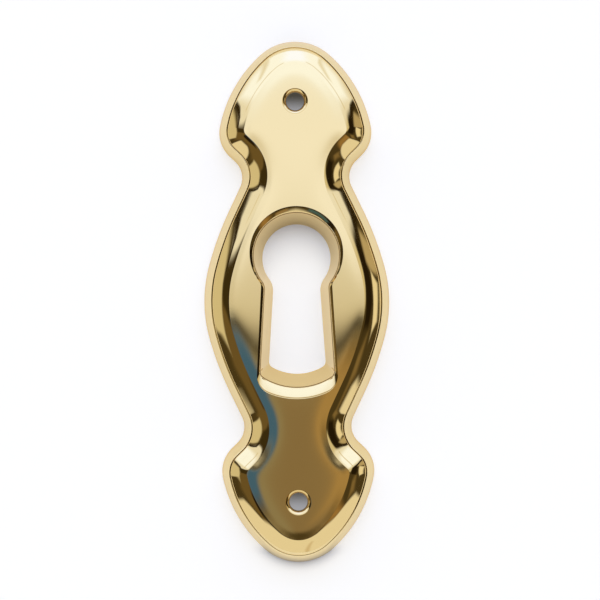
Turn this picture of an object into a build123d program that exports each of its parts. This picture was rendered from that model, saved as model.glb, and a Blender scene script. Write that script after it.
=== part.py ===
from build123d import *

import os
from math import acos, atan2, cos, degrees, radians, sin, sqrt, tan

# A keyhole escutcheon for a drawer or cabinet door: one brass sheet, pressed hollow.
# Its back edge lies on Z = 0 and its face looks along +Z. +Y points to the keyhole's round head.
# Lengths are millimetres and angles degrees.

# Outline of the plate, the same in all four quarters
plate_length = 65.0
middle_width = 23.1
neck_width = 13.4
lobe_width = 19.0
middle_lean = 15.0
flank_lean = 25.5
shoulder_run = 1.027
neck_radius = 2.75

# Rounded corners of the flat field, inside the border
field_middle_radius = 13.9
field_flank_radius = 36.8
field_corner_radius = 0.8
field_side_radius = 13.1
field_tip_radius = 3.2

# Section of the border, from the back edge up to the field
sheet_thickness = 1.0
rim_run = 1.05
rim_rise = 2.2
slope_run = 1.75
slope_rise = 1.5
brow_run = 0.4

# Keyhole at the back edge
head_margin = 7.3
head_top = 9.65
foot_bottom = -9.0
foot_inset = 0.7
foot_bow_radius = 6.3
foot_corner_radius = 0.8
slot_lean = 3.45
throat_radius = 2.5

# Sheet turned in round the keyhole: a steep wall, then a flare out to the field
wall_side_run = 0.98
wall_top_run = 1.25
wall_foot_run = 1.45
flare_side_run = 0.36
flare_top_run = 0.6
flare_foot_run = 1.3
flare_depth = 0.55
flare_corner_radius = 1.8
flare_radius = 0.6

# Two pin holes
hole_spacing = 49.3
hole_diameter = 2.2
hole_mouth = 0.5

# Points closer than this are the same point
touching = 1e-4


def direction(angle):
    """Unit vector at an angle from +X."""
    return Vector(cos(radians(angle)), sin(radians(angle)))


def bearing(vector):
    """Angle of a vector from +X."""
    return degrees(atan2(vector.Y, vector.X))


# Heights and the width of the border
face_height = rim_rise + slope_rise
border_width = rim_run + slope_run + brow_run

# Widths of the keyhole, from the metal left beside it
head_diameter = middle_width - 2 * head_margin
foot_width = head_diameter - 2 * foot_inset

# Outer radii of the round stretches, concentric with the field's corners
middle_radius = field_middle_radius + border_width
flank_radius = field_flank_radius + border_width
corner_radius = field_corner_radius + border_width
side_radius = field_side_radius + border_width
tip_radius = field_tip_radius + border_width

# Centres of the round stretches of the upper right quarter, each tangent to the next
middle_centre = Vector(middle_width / 2 - middle_radius, 0)
flank_centre = middle_centre - direction(middle_lean) * (flank_radius - middle_radius)
flank = direction(flank_lean)
neck_x = neck_width / 2 + neck_radius
flank_offset = flank_centre.dot(flank) + flank_radius + neck_radius
neck_centre = Vector(neck_x, (flank_offset - neck_x * flank.X) / flank.Y)
corner_x = lobe_width / 2 - corner_radius
shoulder_reach = Vector(neck_radius + corner_radius, shoulder_run)
shoulder_lean = degrees(acos((neck_x - corner_x) / shoulder_reach.length)) - bearing(shoulder_reach)
across_shoulder = direction(-shoulder_lean) * shoulder_reach.X
along_shoulder = direction(90 - shoulder_lean) * shoulder_reach.Y
corner_centre = neck_centre - across_shoulder + along_shoulder
tip_centre = Vector(0, plate_length / 2 - tip_radius)

# The lobe's side bridges its corner and its tip
lobe = tip_centre - corner_centre
corner_reach = side_radius - corner_radius
tip_reach = side_radius - tip_radius
turn = degrees(acos((lobe.length**2 + corner_reach**2 - tip_reach**2) / (2 * lobe.length * corner_reach)))
side_centre = corner_centre + direction(bearing(lobe) + turn) * corner_reach
side_start = bearing(corner_centre - side_centre)
side_end = bearing(tip_centre - side_centre)

# Round stretches in order: centre, radius (negative where the outline is hollow), first and last angle
stretches = [
    (middle_centre, middle_radius, 0, middle_lean),
    (flank_centre, flank_radius, middle_lean, flank_lean),
    (neck_centre, -neck_radius, flank_lean, -shoulder_lean),
    (corner_centre, corner_radius, -shoulder_lean, side_start),
    (side_centre, side_radius, side_start, side_end),
    (tip_centre, tip_radius, side_end, 90),
]


def outline_quarter(inset):
    """Edges of the upper right quarter of the outline, moved in by an inset."""
    edges = []
    for centre, radius, first, last in stretches:
        start = centre + direction(first) * (radius - inset)
        middle = centre + direction((first + last) / 2) * (radius - inset)
        end = centre + direction(last) * (radius - inset)
        if edges and (start - edges[-1].position_at(1)).length > touching:
            edges.append(Line(edges[-1].position_at(1), start))
        edges.append(ThreePointArc(start, middle, end))
    return edges


def border_section():
    """The pressed sheet's section: X runs in from the outer edge and Y runs up."""
    rim_top = Vector(rim_run, rim_rise)
    brow = Vector(rim_run + slope_run, face_height)
    corners = [Vector(0, 0), rim_top, brow, Vector(border_width, face_height)]
    runs = [(end - start).normalized() for start, end in zip(corners, corners[1:])]
    inward = [Vector(run.Y, -run.X) for run in runs]
    back = [Vector(sheet_thickness / inward[0].X, 0)]
    for corner, before, after in zip(corners[1:], inward, inward[1:]):
        back.append(corner + (before + after) * (sheet_thickness / (1 + before.dot(after))))
    back.append(corners[-1] + inward[-1] * sheet_thickness)
    rim = Line(corners[0], rim_top)
    slope = Bezier(rim_top, brow, corners[-1])
    behind = Polyline(corners[-1], *reversed(back), corners[0])
    return make_face([rim, slope, *behind.edges()])


def border_quarter():
    """The section carried round a quarter of the outline: turned at each round stretch, run out between."""
    section = border_section()
    pieces = []
    reached = None
    for centre, radius, first, last in stretches:
        start = centre + direction(first) * radius
        across = Plane(start, x_dir=-direction(first), z_dir=direction(first + 90))
        if reached and (start - reached).length > touching:
            run = Plane(reached, x_dir=-direction(first), z_dir=direction(first + 90))
            pieces.append(extrude(run * section, (start - reached).length))
        pieces.append(revolve(across * section, Axis(centre, (0, 0, 1)), last - first))
        reached = centre + direction(last) * radius
    return pieces


def field_quarter():
    """A quarter of the flat sheet inside the border."""
    edges = outline_quarter(border_width)
    closing = Polyline(edges[-1].position_at(1), (0, 0), edges[0].position_at(0))
    quarter = make_face(edges + closing.edges())
    return extrude(Pos(0, 0, face_height - sheet_thickness) * quarter, sheet_thickness)


def keyhole(height, side=0.0, top=0.0, foot=0.0, corner_radius=foot_corner_radius):
    """The keyhole's outline at a height, grown at its sides, its top and its foot."""
    radius = head_diameter / 2 + side
    head_y = head_top + top - radius
    foot_y = foot_bottom - foot
    bow_radius = foot_bow_radius + foot
    half_foot = foot_width / 2 + side / cos(radians(slot_lean))
    half_head = half_foot - (head_y - foot_bottom) * tan(radians(slot_lean))
    sole_y = foot_y + bow_radius - sqrt(bow_radius**2 - half_foot**2)
    sides = Polyline((-half_foot, sole_y), (-half_head, head_y), (half_head, head_y), (half_foot, sole_y))
    sole = ThreePointArc((half_foot, sole_y), (0, foot_y), (-half_foot, sole_y))
    outline = make_face([*sides.edges(), sole]) + Pos(0, head_y) * Rot(0, 0, -90) * Circle(radius)
    outline = fillet(outline.vertices().group_by(Axis.Y)[0], corner_radius)
    outline = fillet(outline.vertices().group_by(Axis.Y)[-1], throat_radius - side)
    return Pos(0, 0, height) * outline


def pin_hole():
    """What a pin hole takes out of the sheet: a round bore that widens into a rounded mouth."""
    bore = hole_diameter / 2
    mouth = bore + hole_mouth
    mouth_start = face_height - hole_mouth
    below = face_height - 2 * sheet_thickness
    inside = Polyline((mouth, face_height), (0, face_height), (0, below), (bore, below), (bore, mouth_start))
    rounding = Bezier((bore, mouth_start), (bore, face_height), (mouth, face_height))
    return revolve(Plane.XZ * make_face([*inside.edges(), rounding]), Axis.Z)


def edges_along(solid, outline):
    """The edges of a solid that lie on an outline."""
    wire = outline.wire()
    found = []
    for edge in solid.edges():
        if all(wire.distance_to(edge @ share) < touching for share in (0, 0.5, 1)):
            found.append(edge)
    return found


# Border and field, pressed from the sheet
quarter = Part() + border_quarter() + field_quarter()
half = quarter + mirror(quarter, Plane.YZ)
plate = half + mirror(half, Plane.XZ)

# The sheet turned in round the keyhole, down to the back edge
wall_height = face_height - flare_depth
keyhole_back = keyhole(0)
keyhole_wall = keyhole(wall_height, wall_side_run, wall_top_run, wall_foot_run)
keyhole_face = keyhole(
    face_height,
    wall_side_run + flare_side_run,
    wall_top_run + flare_top_run,
    wall_foot_run + flare_foot_run,
    flare_corner_radius,
)
collar_back = keyhole(0, sheet_thickness, sheet_thickness, sheet_thickness)
collar_top = keyhole(
    face_height - sheet_thickness,
    wall_side_run + sheet_thickness,
    wall_top_run + sheet_thickness,
    wall_foot_run + sheet_thickness,
)
plate += loft([collar_back, collar_top], ruled=True)
plate -= loft([keyhole_back, keyhole_wall, keyhole_face], ruled=True)
plate = fillet(edges_along(plate, keyhole_face), flare_radius)

# Pin holes on the centre line
for hole_y in (-hole_spacing / 2, hole_spacing / 2):
    plate -= Pos(0, hole_y) * pin_hole()

os.makedirs("parts", exist_ok=True)
export_step(plate, "parts/escutcheon_plate.step")
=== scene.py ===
import math

import bpy
import numpy as np
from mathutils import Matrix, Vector
from mathutils.geometry import delaunay_2d_cdt


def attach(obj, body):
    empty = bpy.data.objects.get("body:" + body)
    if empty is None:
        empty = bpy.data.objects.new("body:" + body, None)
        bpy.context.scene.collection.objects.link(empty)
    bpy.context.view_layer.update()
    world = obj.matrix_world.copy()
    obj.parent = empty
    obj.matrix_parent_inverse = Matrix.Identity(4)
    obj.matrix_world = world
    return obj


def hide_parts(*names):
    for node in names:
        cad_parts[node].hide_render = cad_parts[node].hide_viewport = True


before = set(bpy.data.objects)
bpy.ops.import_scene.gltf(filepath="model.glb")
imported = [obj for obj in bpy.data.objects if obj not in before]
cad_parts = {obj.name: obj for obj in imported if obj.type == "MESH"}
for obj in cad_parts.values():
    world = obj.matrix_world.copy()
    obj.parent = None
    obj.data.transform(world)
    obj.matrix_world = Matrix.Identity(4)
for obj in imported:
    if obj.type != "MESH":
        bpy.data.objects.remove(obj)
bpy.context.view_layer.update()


# Plate
# The whole escutcheon: brass sheet pressed hollow, with a steep rim, a fine crease, a rounded border and a
# softly crowned field. The sheet is turned in round the keyhole, the two pin holes have rounded mouths, and
# the face is polished bright. Lengths are millimetres until the mesh is made.

plate_length, middle_width, neck_width, lobe_width = 65.0, 23.1, 13.4, 19.0
middle_lean, flank_lean, shoulder_lean = 15.0, 25.5, 46.0
sheet = 1.0
rim_run, rim_rise = 1.05, 2.2
slope_run, slope_rise, brow_run = 1.75, 1.5, 0.4
face_height = rim_rise + slope_rise
border_width = rim_run + slope_run + brow_run
neck_radius = 2.75
field_radii = [13.9, 36.8, 0.8, 13.1, 3.2]
middle_radius, flank_radius, corner_radius, side_radius, tip_radius = np.add(field_radii, border_width)


def toward(angle):
    """Unit vectors at angles in degrees from +X."""
    angle = np.radians(angle)
    return np.stack([np.cos(angle), np.sin(angle)], axis=-1)


def bearing(vector):
    """Angle of a vector in degrees from +X."""
    return math.degrees(math.atan2(vector[1], vector[0]))


def bent(start, knee, end, count):
    """Points along the curve that leaves the start towards a knee and reaches the end from it."""
    t = np.linspace(0, 1, count)[:, None]
    start, knee, end = np.array(start), np.array(knee), np.array(end)
    return (1 - t) ** 2 * start + 2 * t * (1 - t) * knee + t**2 * end


# Centres of the outline's round stretches in the upper right quarter, each tangent to the next
middle_centre = np.array([middle_width / 2 - middle_radius, 0])
flank_centre = middle_centre - toward(middle_lean) * (flank_radius - middle_radius)
neck_x = neck_width / 2 + neck_radius
flank = toward(flank_lean)
flank_offset = flank_centre @ flank + flank_radius + neck_radius
neck_centre = np.array([neck_x, (flank_offset - neck_x * flank[0]) / flank[1]])
shoulder = toward(-shoulder_lean)
corner_x = lobe_width / 2 - corner_radius
shoulder_offset = neck_centre @ shoulder - neck_radius - corner_radius
corner_centre = np.array([corner_x, (shoulder_offset - corner_x * shoulder[0]) / shoulder[1]])
tip_centre = np.array([0, plate_length / 2 - tip_radius])
lobe = tip_centre - corner_centre
lobe_length = np.hypot(*lobe)
corner_reach, tip_reach = side_radius - corner_radius, side_radius - tip_radius
turn = math.acos((lobe_length**2 + corner_reach**2 - tip_reach**2) / (2 * lobe_length * corner_reach))
side_centre = corner_centre + toward(bearing(lobe) + math.degrees(turn)) * corner_reach
side_start = bearing(corner_centre - side_centre)
side_end = bearing(tip_centre - side_centre)

# A quarter of the outline as points and the directions that face out of them
outline_spacing, outline_turn = 0.22, 1.5
quarter_points, quarter_facing = [], []
for centre, radius, first, last in [
    (middle_centre, middle_radius, 0, middle_lean),
    (flank_centre, flank_radius, middle_lean, flank_lean),
    (neck_centre, -neck_radius, flank_lean, -shoulder_lean),
    (corner_centre, corner_radius, -shoulder_lean, side_start),
    (side_centre, side_radius, side_start, side_end),
    (tip_centre, tip_radius, side_end, 90),
]:
    swing = abs(last - first)
    steps = math.ceil(max(abs(radius) * math.radians(swing) / outline_spacing, swing / outline_turn))
    facing = toward(np.linspace(first, last, steps + 1))
    points = centre + facing * radius
    if quarter_points:
        gap = points[0] - quarter_points[-1][-1]
        count = math.floor(np.hypot(*gap) / outline_spacing)
        if count:
            shares = np.linspace(0, 1, count + 2)[1:-1, None]
            quarter_points.append(quarter_points[-1][-1] + shares * gap)
            quarter_facing.append(np.repeat(facing[:1], count, axis=0))
        else:
            points, facing = points[1:], facing[1:]
    quarter_points.append(points)
    quarter_facing.append(facing)


def all_round(quarter):
    """Four mirrored quarters in one closed run."""
    quarter = np.concatenate(quarter)
    half = np.concatenate([quarter, (quarter * [-1, 1])[-2::-1]])
    return np.concatenate([half, (half * [1, -1])[-2:0:-1]])


outline, outline_facing = all_round(quarter_points), all_round(quarter_facing)

# Section of the border from the field out to the back edge and up the hollow side: inset and height
field_side = (border_width + 0.06, face_height)
slope = bent((border_width, face_height), (2.5, 3.54), (1.14, 2.23), 40)
slope = np.concatenate([[field_side], slope])
crease = np.array([(1.11, 2.19), (1.085, 2.155), (1.065, 2.14), (1.045, 2.145)])
lip = np.array([(1.02, 2.165), (0.985, 2.175), (0.95, 2.155), (0.92, 2.11), (0.885, 2.04)])
wall = bent((0.85, 1.97), (0.33, 1.0), (0.0, 0.05), 14)
back_edge = (0.04, 0.0)
front_section = np.concatenate([slope, crease, lip, wall, [back_edge]])
brow_start = rim_run + slope_run
corners = np.array([(0, 0), (rim_run, rim_rise), (brow_start, face_height), (border_width, face_height)])
runs = np.diff(corners, axis=0)
runs /= np.hypot(runs[:, 0], runs[:, 1])[:, None]
inward = np.stack([runs[:, 1], -runs[:, 0]], axis=1)
mitres = (inward[:-1] + inward[1:]) / (1 + np.sum(inward[:-1] * inward[1:], axis=1))[:, None]
back_section = np.concatenate([[(sheet / inward[0, 0], 0.0)], corners[1:3] + mitres * sheet])
border_section = np.concatenate([front_section, back_section])

# Keyhole at the back edge, and how far the turned-in sheet stands out from it at its sides, top and foot
head_radius, head_top = 4.25, 9.65
foot_bottom, half_foot_width, foot_bow, foot_corner = -9.0, 3.55, 6.3, 0.8
slot_lean, throat_radius = math.radians(3.45), 2.5
wall_runs = np.array([0.98, 1.25, 1.45])
flare_runs = np.array([0.36, 0.6, 1.3])
flare_softness = np.array([0.16, 0.25, 0.2])
flare_depth, flare_corner, flare_corner_growth = 0.55, 1.0, 1.4
lip_width, collar = 0.19, 0.6
head_count, throat_count, slot_count, heel_count, sole_count = 90, 28, 48, 28, 34


def keyhole_ring(runs, corner):
    """The keyhole's outline, grown at its sides, top and foot, with its foot's corners rounded."""
    side, top, foot = runs
    radius = head_radius + side
    head = np.array([0, head_top + top - radius])
    bow = foot_bow + foot
    sole = np.array([0, foot_bottom - foot + bow])
    half_foot = half_foot_width + side / math.cos(slot_lean)
    low = np.array([half_foot, sole[1] - math.sqrt(bow**2 - half_foot**2)])
    high = np.array([half_foot - (head[1] - foot_bottom) * math.tan(slot_lean), head[1]])
    along = (high - low) / np.hypot(*(high - low))
    out = np.array([along[1], -along[0]])

    def rounding(offset, centre, reach):
        """Centre of a rounding at an offset from the slot's side and at a reach from another centre."""
        base = low + out * offset
        b = (base - centre) @ along
        return base - along * (b + math.sqrt(b**2 - (base - centre) @ (base - centre) + reach**2))

    throat_fillet = throat_radius - side
    throat = rounding(throat_fillet, head, radius + throat_fillet)
    heel = rounding(-corner, sole, bow - corner)
    throat_angle, heel_angle, side_angle = bearing(throat - head), bearing(heel - sole), bearing(out)
    throat_turn = np.linspace(throat_angle + 180, side_angle + 180, throat_count)
    right = [
        head + radius * toward(np.linspace(90, throat_angle, head_count)),
        throat + throat_fillet * toward(throat_turn)[1:],
    ]
    start, end = right[1][-1], heel + corner * toward(side_angle)
    right.append(start + np.linspace(0, 1, slot_count)[1:, None] * (end - start))
    right.append(heel + corner * toward(np.linspace(side_angle, heel_angle, heel_count))[1:])
    right.append(sole + bow * toward(np.linspace(heel_angle, -90, sole_count))[1:])
    right = np.concatenate(right)
    return np.concatenate([right, (right * [-1, 1])[-2:0:-1]])


# Levels of the keyhole from the field down the flare, the lip and the wall, and up behind the collar
flare = bent((1, 0), (0.5, 0.08), (0, 0.18), 12)
keyhole_lip = bent((0.18, 0.19), (0.15, 0.22), (0.0, flare_depth), 14)
wall_top = face_height - flare_depth
keyhole_levels = []
for share, depth in flare:
    runs_out = wall_runs + lip_width + (flare_runs + flare_softness - lip_width) * share
    keyhole_levels.append((runs_out, flare_corner + flare_corner_growth * share, face_height - depth))
for width, depth in keyhole_lip:
    keyhole_levels.append((wall_runs + width, foot_corner + width, face_height - depth))
for share in np.linspace(0.95, 0.0, 10):
    keyhole_levels.append((wall_runs * share, foot_corner, wall_top * share))
keyhole_levels.append((np.full(3, collar), foot_corner, 0.0))
keyhole_levels.append((wall_runs + collar, foot_corner, face_height - sheet))

# Pin holes: radius and height down the rounded mouth and the bore
bore, mouth, hole_spacing, hole_count = 1.1, 0.5, 49.3, 96
mouth_knee = (bore + 0.1, face_height - 0.1)
mouth_curve = bent((bore + 0.46, face_height), mouth_knee, (bore, face_height - mouth), 14)
hole_section = np.concatenate([[(bore + mouth, face_height)], mouth_curve, [(bore, face_height - sheet)]])

# Painted shade: marks of a deeper tone, from 0 on bright metal to 1 in the crease, at rings counted down each
# section. They paint the shade in the crease, a dark line at the keyhole's flare, a dark band in its lip,
# dark rings at the edges of the pin holes' mouths, and a darker reflection low on the outer and keyhole
# walls.
# The border's rings count from the crease, whose painted shade is paler along the flanks and at the tips.
border_shade_marks = [(-2, 0), (-1, 0.4), (0, 1), (3, 1), (4, 0.3), (5, 0)]
border_shade_marks += [(9, 0.08), (17, 0.1), (20, 0.22), (23, 0.5)]
crease_shade_shares = [(0, 0.62), (12, 0.7), (17, 1), (26, 1), (29, 0.75), (32.5, 0.6)]
keyhole_shade_marks = [(0, 0), (1, 0.9), (2, 0), (17, 0), (18, 1), (23, 1), (24, 0.18), (36, 0.2)]
hole_shade_marks = [(0, 0), (1, 0.5), (2, 0.45), (3, 0.1), (9, 0.15), (11, 0.7), (13, 0.7), (15, 0.3)]


def between(stops, place):
    """The value at a place, or at each of several, from stops of place and value."""
    return np.interp(place, *zip(*stops))


# One mesh: strips of quads down each section, and flat triangles between their ends
vertices, faces, painted_shade_marks = [], [], []


def add_points(points, height, shade_mark=0.0):
    """Adds a ring or a set of points and gives back their numbers."""
    first = sum(map(len, vertices))
    vertices.append(np.column_stack([points, np.full(len(points), height)]))
    painted_shade_marks.append(np.full(len(points), shade_mark))
    return list(range(first, first + len(points)))


def add_strip(rings):
    """Quads between each ring and the next, which lies to the right of it, so that they face out."""
    for upper, lower in zip(rings, rings[1:]):
        faces.extend(zip(lower, lower[1:] + lower[:1], upper[1:] + upper[:1], upper))


border_rings = []
for index, (inset, height) in enumerate(border_section):
    shade_mark = between(border_shade_marks, index - len(slope))
    if shade_mark > 0.5:
        shade_mark = shade_mark * between(crease_shade_shares, np.abs(outline[:, 1]))
    border_rings.append(add_points(outline - inset * outline_facing, height, shade_mark))
keyhole_rings = []
for index, (runs_out, corner, height) in enumerate(keyhole_levels):
    shade_mark = between(keyhole_shade_marks, index)
    keyhole_rings.append(add_points(keyhole_ring(runs_out, corner), height, shade_mark))
hole_rings = []
circle = toward(np.linspace(0, -360, hole_count + 1)[:-1])
for hole_y in (-hole_spacing / 2, hole_spacing / 2):
    rings = []
    for index, (radius, height) in enumerate(hole_section):
        shade_mark = between(hole_shade_marks, index)
        rings.append(add_points(circle * radius + [0, hole_y], height, shade_mark))
    hole_rings.append(rings)
for rings in [border_rings, keyhole_rings, *hole_rings]:
    add_strip(rings)


def inside(points, ring):
    """Which points lie inside a closed ring."""
    ends = np.roll(ring, -1, axis=0)
    x, y = points[:, :1], points[:, 1:]
    spans = (ring[:, 1] > y) != (ends[:, 1] > y)
    rise = np.where(ends[:, 1] == ring[:, 1], 1, ends[:, 1] - ring[:, 1])
    crossing = ring[:, 0] + (y - ring[:, 1]) / rise * (ends[:, 0] - ring[:, 0])
    return np.sum(spans & (x < crossing), axis=1) % 2 == 1


def on_sheet(points, rims):
    """Which points lie inside the first rim and outside the others."""
    keep = inside(points, rims[0])
    for rim in rims[1:]:
        keep &= ~inside(points, rim)
    return keep


def add_sheet(rings, height, looks_up, spacing=None):
    """Flat triangles inside the first ring and outside the others, with points between at a spacing."""
    placed = np.concatenate(vertices)[:, :2]
    rims = [placed[ring] for ring in rings]
    numbers = [number for ring in rings for number in ring]
    if spacing:
        across = np.arange(-middle_width / 2, middle_width / 2, spacing)
        along = np.arange(-plate_length / 2, plate_length / 2, spacing * math.sqrt(0.75))
        grid = np.array([(x + spacing / 2 * (row % 2), y) for row, y in enumerate(along) for x in across])
        grid = grid[on_sheet(grid, rims)]
        edge = np.concatenate(rims)
        near = np.min(np.hypot(grid[:, :1] - edge[:, 0], grid[:, 1:] - edge[:, 1]), axis=1)
        grid = grid[near > spacing * 0.6]
        numbers += add_points(grid, height)
        placed = np.concatenate([placed, grid])
    edges, count = [], 0
    for rim in rims:
        edges += [(count + i, count + (i + 1) % len(rim)) for i in range(len(rim))]
        count += len(rim)
    _, _, triangles, sources, _, _ = delaunay_2d_cdt(
        [Vector(placed[number]) for number in numbers], edges, [], 0, 1e-9
    )
    triangles = np.array([[numbers[sources[corner][0]] for corner in triangle] for triangle in triangles])
    triangles = triangles[on_sheet(placed[triangles].mean(axis=1), rims)]
    if not looks_up:
        triangles = triangles[:, ::-1]
    faces.extend(map(tuple, triangles.tolist()))


field_spacing = 0.32
field_rings = [border_rings[0], keyhole_rings[0], *(rings[0] for rings in hole_rings)]
back_rings = [border_rings[-1], keyhole_rings[-1], *(rings[-1] for rings in hole_rings)]
front_start = len(np.concatenate(vertices))
add_sheet(field_rings, face_height, True, field_spacing)
front_end = len(np.concatenate(vertices))
add_sheet(back_rings, face_height - sheet, False)

# The field falls away softly towards its border
crown_drop, crown_reach = 0.075, 0.56
vertices = np.concatenate(vertices)
field_edge = outline - border_width * outline_facing
lengths = np.hypot(*(np.roll(field_edge, -1, axis=0) - np.roll(field_edge, 1, axis=0)).T) / 2
front = list(range(front_start, front_end))
for rings in [border_rings[:2], keyhole_rings[: len(flare)], *(rings[:-1] for rings in hole_rings)]:
    front += [number for ring in rings for number in ring]
near = np.hypot(vertices[front, :1] - field_edge[:, 0], vertices[front, 1:2] - field_edge[:, 1])
vertices[front, 2] -= crown_drop / (2 * crown_reach) * (np.exp(-near / crown_reach) @ lengths)
edge_drop = face_height - vertices[border_rings[1], 2]
for ring in border_rings[2 : len(slope)]:
    vertices[ring, 2] -= edge_drop * (vertices[ring, 2] - rim_rise) / slope_rise

mesh = bpy.data.meshes.new("plate")
mesh.from_pydata((vertices / 1000).tolist(), [], faces)
# The crease attribute carries the painted shade marks to the brass
mesh.attributes.new("crease", "FLOAT", "POINT").data.foreach_set("value", np.concatenate(painted_shade_marks))
mesh.shade_smooth()
mesh.set_sharp_from_angle(angle=math.radians(40))

# The field meets the border and the keyhole's flare at crisp polished edges
crisp_edges = set()
for ring in (border_rings[0], keyhole_rings[0]):
    crisp_edges.update(map(frozenset, zip(ring, ring[1:] + ring[:1])))
for edge in mesh.edges:
    if frozenset(edge.vertices) in crisp_edges:
        edge.use_edge_sharp = True
plate = bpy.data.objects.new("plate", mesh)
bpy.context.collection.objects.link(plate)


class Value:
    """A shader socket that takes part in ordinary arithmetic."""

    def __init__(self, socket):
        self.socket = socket

    def node(self, kind, *inputs, output=0, **settings):
        """Any other node of the same tree, fed with sockets, numbers and colours in order."""
        tree = self.socket.id_data
        node = tree.nodes.new(kind)
        for name, setting in settings.items():
            setattr(node, name, setting)
        for place, value in enumerate(inputs):
            if isinstance(value, Value):
                tree.links.new(value.socket, node.inputs[place])
            elif value is not None:
                node.inputs[place].default_value = value
        return Value(node.outputs[output])

    def math(self, operation, *others):
        """A Math node on this value and others."""
        return self.node("ShaderNodeMath", self, *others, operation=operation)

    def __add__(self, other):
        return self.math("ADD", other)

    def __sub__(self, other):
        return self.math("SUBTRACT", other)

    def __mul__(self, other):
        return self.math("MULTIPLY", other)

    def __rsub__(self, other):
        return self * -1 + other

    __radd__, __rmul__ = __add__, __mul__

    def step(self, low, high):
        """Rises softly from 0 at the low mark to 1 at the high one."""
        return self.node("ShaderNodeMapRange", self, low, high, 0.0, 1.0, interpolation_type="SMOOTHSTEP")

    def mix(self, before, after):
        """The first colour where this is 0 and the second where it is 1."""
        colours = [(*c, 1) if isinstance(c, tuple) else c for c in (before, after)]
        unused = [None] * 5
        return self.node("ShaderNodeMix", self, *unused, *colours, output=2, data_type="RGBA")


# Polished brass with a faint tarnish, and painted shade: a deeper gold low on the walls and brown in the
# crease
clean_brass, tarnished_brass = (0.84, 0.675, 0.35), (0.82, 0.655, 0.33)
shaded_gold, crease_shade_brown = (0.74, 0.53, 0.21), (0.22, 0.11, 0.02)
brass = bpy.data.materials.new("polished brass")
brass.use_nodes = True
shader = brass.node_tree.nodes["Principled BSDF"]
place = Value(brass.node_tree.nodes.new("ShaderNodeTexCoord").outputs["Object"])
tarnish = place.node("ShaderNodeTexNoise", place, None, 90.0, 3.0)
haze = place.node("ShaderNodeTexNoise", place, None, 420.0, 2.0)
# Painted shade from the crease attribute: a deeper gold where it is faint, brown where it is strong
painted_shade_amount = place.node("ShaderNodeAttribute", output=2, attribute_name="crease")
metal = tarnish.mix(tarnished_brass, clean_brass)
lightly_shaded_brass = painted_shade_amount.step(0, 0.3).mix(metal, shaded_gold)
shaded_tone = painted_shade_amount.step(0.3, 1).mix(lightly_shaded_brass, crease_shade_brown)
brass.node_tree.links.new(shaded_tone.socket, shader.inputs["Base Color"])
brass.node_tree.links.new((haze * 0.03 + 0.035).socket, shader.inputs["Roughness"])
shader.inputs["Metallic"].default_value = 1.0
mesh.materials.append(brass)

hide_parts("escutcheon_plate")
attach(plate, "root")


# Floor
# A plain sheet of matt white paper that the plate lies on, wide enough to fill the picture and any other
# view. It lies a hair below the plate's back edge.

floor_reach, floor_drop = 3.0, 0.00002
floor_corners = [(-1, -1), (1, -1), (1, 1), (-1, 1)]
floor_mesh = bpy.data.meshes.new("floor")
floor_mesh.from_pydata([(x * floor_reach, y * floor_reach, 0) for x, y in floor_corners], [], [(0, 1, 2, 3)])
floor = bpy.data.objects.new("floor", floor_mesh)
bpy.context.collection.objects.link(floor)
floor.location.z = -floor_drop
paper = bpy.data.materials.new("matt paper")
paper.use_nodes = True
paper_shader = paper.node_tree.nodes["Principled BSDF"]
paper_shader.inputs["Roughness"].default_value = 1.0
paper_shader.inputs["Specular IOR Level"].default_value = 0.0
rays = paper.node_tree.nodes.new("ShaderNodeLightPath").outputs
seen = Value(rays["Is Camera Ray"]) + Value(rays["Is Glossy Ray"]) + Value(rays["Is Transmission Ray"])

# Places on the floor, again in millimetres
spot = Value(paper.node_tree.nodes.new("ShaderNodeTexCoord").outputs["Object"])
spot = spot.node("ShaderNodeVectorMath", spot, None, None, 1000.0, operation="SCALE")
along = spot.node("ShaderNodeSeparateXYZ", spot, output=1)


def distance(y):
    """How far the floor's points are from a place on the plate's centre line."""
    return spot.node("ShaderNodeVectorMath", spot, (0, y, 0), operation="DISTANCE", output=1)


# Painted shadow on the paper seen through the pin holes, deeper on the side of the head end
off_hole = distance(hole_spacing / 2).math("MINIMUM", distance(-hole_spacing / 2)).step(3.0, 4.0)
past_hole = along.math("FLOORED_MODULO", hole_spacing) - hole_spacing / 2
painted_hole_shadow_lift = past_hole.step(-1.3, 1.3).mix((0.30, 0.30, 0.31), (0.03, 0.03, 0.03))

# Painted shadow on the floor: it deepens towards the top of the keyhole's head, and it is deep just past the
# foot
under_head = ((distance(2.4) - 2.0) * 0.2).math("MAXIMUM", 0) * distance(5.4).step(6.5, 4.8)
past_foot = ((7.99 - distance(-26.1)) * 0.667).math("MAXIMUM", 0) * along.step(-29.5, -31.5)
shade = (under_head * under_head).math("MAXIMUM", past_foot * past_foot)

# The camera and the metal see the paper lifted towards white, less so where shadow is painted in the holes
# and the shade
open_paper, painted_hole_shadow_paper = (0.92, 0.88, 0.75), (0.20, 0.25, 0.34)
open_lift, shaded_lift = (0.375, 0.375, 0.38), (0.0, 0.03, 0.10)
# Under the pin holes the paper's colour is darkened as painted shadow
paper_colour = off_hole.mix(painted_hole_shadow_paper, open_paper)
lift = off_hole.mix(painted_hole_shadow_lift, shade.mix(open_lift, shaded_lift))
lift = seen.step(0, 1).mix((0, 0, 0), lift)
paper.node_tree.links.new(paper_colour.socket, paper_shader.inputs["Base Color"])
paper.node_tree.links.new(lift.socket, paper_shader.inputs["Emission Color"])
paper_shader.inputs["Emission Strength"].default_value = 1.0
floor_mesh.materials.append(paper)


# Studio
# A wide soft light over the plate's head end, a low panel past its foot, one along each side, and a brown
# ceiling with a few small cards. Each is a convex shape with anticlockwise corners on a chart of the sky:
# degrees from straight up, to the right and towards the head end. Later shapes lie over earlier ones.

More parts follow.
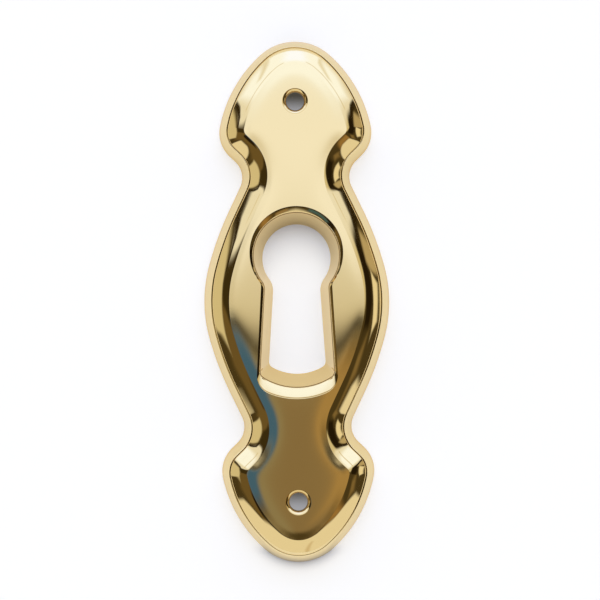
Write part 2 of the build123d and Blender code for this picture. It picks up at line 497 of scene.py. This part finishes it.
studio = bpy.data.worlds.new("studio")
bpy.context.scene.world = studio
studio.use_nodes = True
sky = Value(studio.node_tree.nodes.new("ShaderNodeTexCoord").outputs["Generated"])
from_zenith = sky.node("ShaderNodeSeparateXYZ", sky, output=2).math("ARCCOSINE") * (180 / math.pi)
chart = sky.node("ShaderNodeVectorMath", sky, (1, 1, 0), operation="MULTIPLY")
chart = chart.node("ShaderNodeVectorMath", chart, operation="NORMALIZE")
chart = chart.node("ShaderNodeVectorMath", chart, None, None, from_zenith, operation="SCALE")
chart = chart.node("ShaderNodeVectorMath", chart, (0, 0, 1), operation="ADD")


def seam(zenith, first, last):
    """Corners of a thin strip at an angle from straight up, between two directions."""
    inner, outer = zenith - 1.2, zenith + 1.2
    return inner * toward(first), outer * toward(first), outer * toward(last), inner * toward(last)


light = (0.075, 0.055, 0.022)
for colour, softness, *corners in [
    # Brown ceiling: left, right and straight above
    ((0.165, 0.115, 0.045), 5, (-6, -4), (-72, 2), (-72, -30), (-60, -38), (-42, -42), (-10, -12)),
    ((0.36, 0.22, 0.08), 4, (8, -9), (18, -25), (42, -40), (56, -39), (30, -22)),
    ((0.24, 0.17, 0.075), 4, (57, -22), (60, -34), (69, -32), (68, -20)),
    ((0.28, 0.21, 0.12), 1.3, (-6, 4), (-6, -12.4), (6, -12.4), (6, 4)),
    ((0.44, 0.30, 0.13), 2.4, (2.6, -2), (2.6, -9), (14, -12), (20, -8)),
    ((0.31, 0.27, 0.18), 1.5, (-6, -1), (-6, -12.4), (-1.8, -12.4), (-1.8, -1)),
    # Panel past the foot, in three parts, with a seam
    ((0.93, 0.89, 0.80), 3, (0, -28), (-28, -33), (-46, -43), (-46, -130), (46, -130), (46, -42), (28, -34)),
    ((0.93, 0.89, 0.80), 2, (-40, -45), (-72, -39), (-84, -43), (-84, -130), (-40, -130)),
    ((0.93, 0.89, 0.80), 2, (40, -41.5), (40, -130), (84, -130), (84, -44), (74, -35.5)),
    ((0.74, 0.64, 0.50), 4, (24, -62), (9, -95), (18, -95), (28, -64)),
    # Black gap, then a blue, a teal and a brown card
    ((0.02, 0.013, 0.005), 3, (-12, -9), (-30, -17), (-39, -22), (-37, -33), (-26, -29), (-14, -17)),
    ((0.065, 0.165, 0.38), 1.5, (-3.8, -2), (-9.5, -0.6), (-15, -1.5), (-22, -8), (-22, -13), (-11, -12.5),
     (-5.8, -9)),
    ((0.07, 0.153, 0.21), 1.2, (-23, -24.5), (-8, -28), (-8, -24.5), (-23, -21.2)),
    ((0.35, 0.245, 0.125), 1.2, (5, -29), (16, -29), (13, -25.4), (5, -26)),
    # Left side panel
    ((0.76, 0.71, 0.55), 2.5, (-71, 20), (-80, 37), (-92, 40), (-92, -12), (-84, -20), (-71, -24)),
    # Right side: glow, black gap, the panel's dim end, the panel and its outer strip
    ((0.75, 0.69, 0.52), 3, (-8, 8), (-8, -1), (34, -2), (44, 6), (50, 14), (58, 28), (40, 24)),
    ((0.02, 0.013, 0.005), 4, (46, 2), (44, -12), (66, -16), (73, 0), (72, 24), (66, 30), (54, 24)),
    ((0.56, 0.47, 0.31), 2.5, (71, 22), (84, 18), (88, 30), (74, 34)),
    ((0.97, 0.91, 0.76), 1.5, (75.5, 20), (76, -22), (83, -14), (84, 12)),
    ((0.85, 0.78, 0.60), 1, (86.2, 16), (86.2, -18), (98, -18), (98, 16)),
    # Head light: fringe, dark edge, near edge, body, bright middle, brightest part, the dimmer part overhead
    # and at each side, and a fine seam on each side
    ((0.40, 0.33, 0.19), 4, (48, 20), (60, 29), (70, 38), (60, 42), (44, 30)),
    ((0.09, 0.08, 0.06), 0.8, (-9, -1), (-9, -2.5), (9, -2.7), (9, -1)),
    ((0.78, 0.76, 0.72), 0.9, (-9.5, 8), (-9.5, -1), (12, -1), (12, 8)),
    ((0.98, 1.02, 1.15), 3, (-5, 4), (10, 3.6), (48, 20), (70, 34), (78, 45), (68, 62), (54, 80), (36, 94),
     (0, 104), (-36, 94), (-54, 80), (-69, 62), (-79, 45), (-66, 22)),
    ((1.19, 1.38, 2.00), 5, (-6, 8), (6, 8), (44, 28), (70, 43), (64, 60), (44, 82), (0, 100), (-44, 82),
     (-65, 60), (-74, 45)),
    ((1.20, 1.46, 2.60), 12, (-12, 58), (12, 58), (24, 68), (16, 96), (-16, 96), (-24, 68)),
    ((1.10, 1.17, 1.42), 3.5, (-7, 2.2), (14, 2.2), (18, 8.5), (-12, 8.5)),
    ((0.95, 0.98, 1.08), 3, (-52, 73), (-58, 70), (-55, 50), (-51, 50)),
    ((0.95, 0.98, 1.08), 3, (52, 48), (53, 72), (48, 74), (48, 48)),
    ((0.74, 0.64, 0.44), 2, *seam(57, 110, 131)),
    ((0.74, 0.64, 0.44), 2, *seam(57, 131, 152)),
    ((0.74, 0.64, 0.44), 2, *seam(61, 28, 49)),
    ((0.74, 0.64, 0.44), 2, *seam(61, 49, 70)),
    # Dark gaps over the head light's edges
    ((0.05, 0.036, 0.012), 3, (-10, 4.5), (-31, 14.5), (-62, 19), (-70, 12), (-66, -2), (-40, -8), (-14, -2)),
    ((0.035, 0.024, 0.007), 1.2, (-64.5, 18), (-65.5, 28), (-69.5, 28), (-68.5, 18)),
    ((0.035, 0.024, 0.007), 1.2, (-65.5, 27), (-71, 37), (-77, 43.5), (-79.5, 40), (-69.5, 27)),
    ((0.03, 0.02, 0.006), 1.2, (66.5, 24), (70, 25), (79, 41), (76.5, 44), (71, 38), (67, 30)),
]:
    nearest = 90.0
    for start, end in zip(corners, corners[1:] + corners[:1]):
        run = np.subtract(end, start) / math.dist(start, end)
        edge = (-run[1], run[0], run[1] * start[0] - run[0] * start[1])
        within = chart.node("ShaderNodeVectorMath", chart, edge, operation="DOT_PRODUCT", output=1)
        nearest = within.math("MINIMUM", nearest)
    light = nearest.step(-softness, softness).mix(light, colour)
in_picture = Value(studio.node_tree.nodes.new("ShaderNodeLightPath").outputs["Is Camera Ray"])
light = in_picture.mix(light, (1, 1, 1))
studio.node_tree.links.new(light.socket, studio.node_tree.nodes["Background"].inputs["Color"])


# Camera
# It looks straight down on the face from about 21 cm, a little off the plate's middle and turned by half a
# degree, as the plate lies in the picture.

camera_height, picture_width, sensor_width = 0.21, 0.075, 36.0
picture_middle, picture_turn = (0.0004, 0.000205), -0.5
lens = bpy.data.cameras.new("camera")
lens.sensor_width = sensor_width
lens.lens = sensor_width * camera_height / picture_width
camera = bpy.data.objects.new("camera", lens)
bpy.context.collection.objects.link(camera)
camera.location = (*picture_middle, camera_height)
camera.rotation_euler = (0, 0, math.radians(picture_turn))
bpy.context.scene.camera = camera
bpy.context.scene.view_settings.view_transform = "Standard"
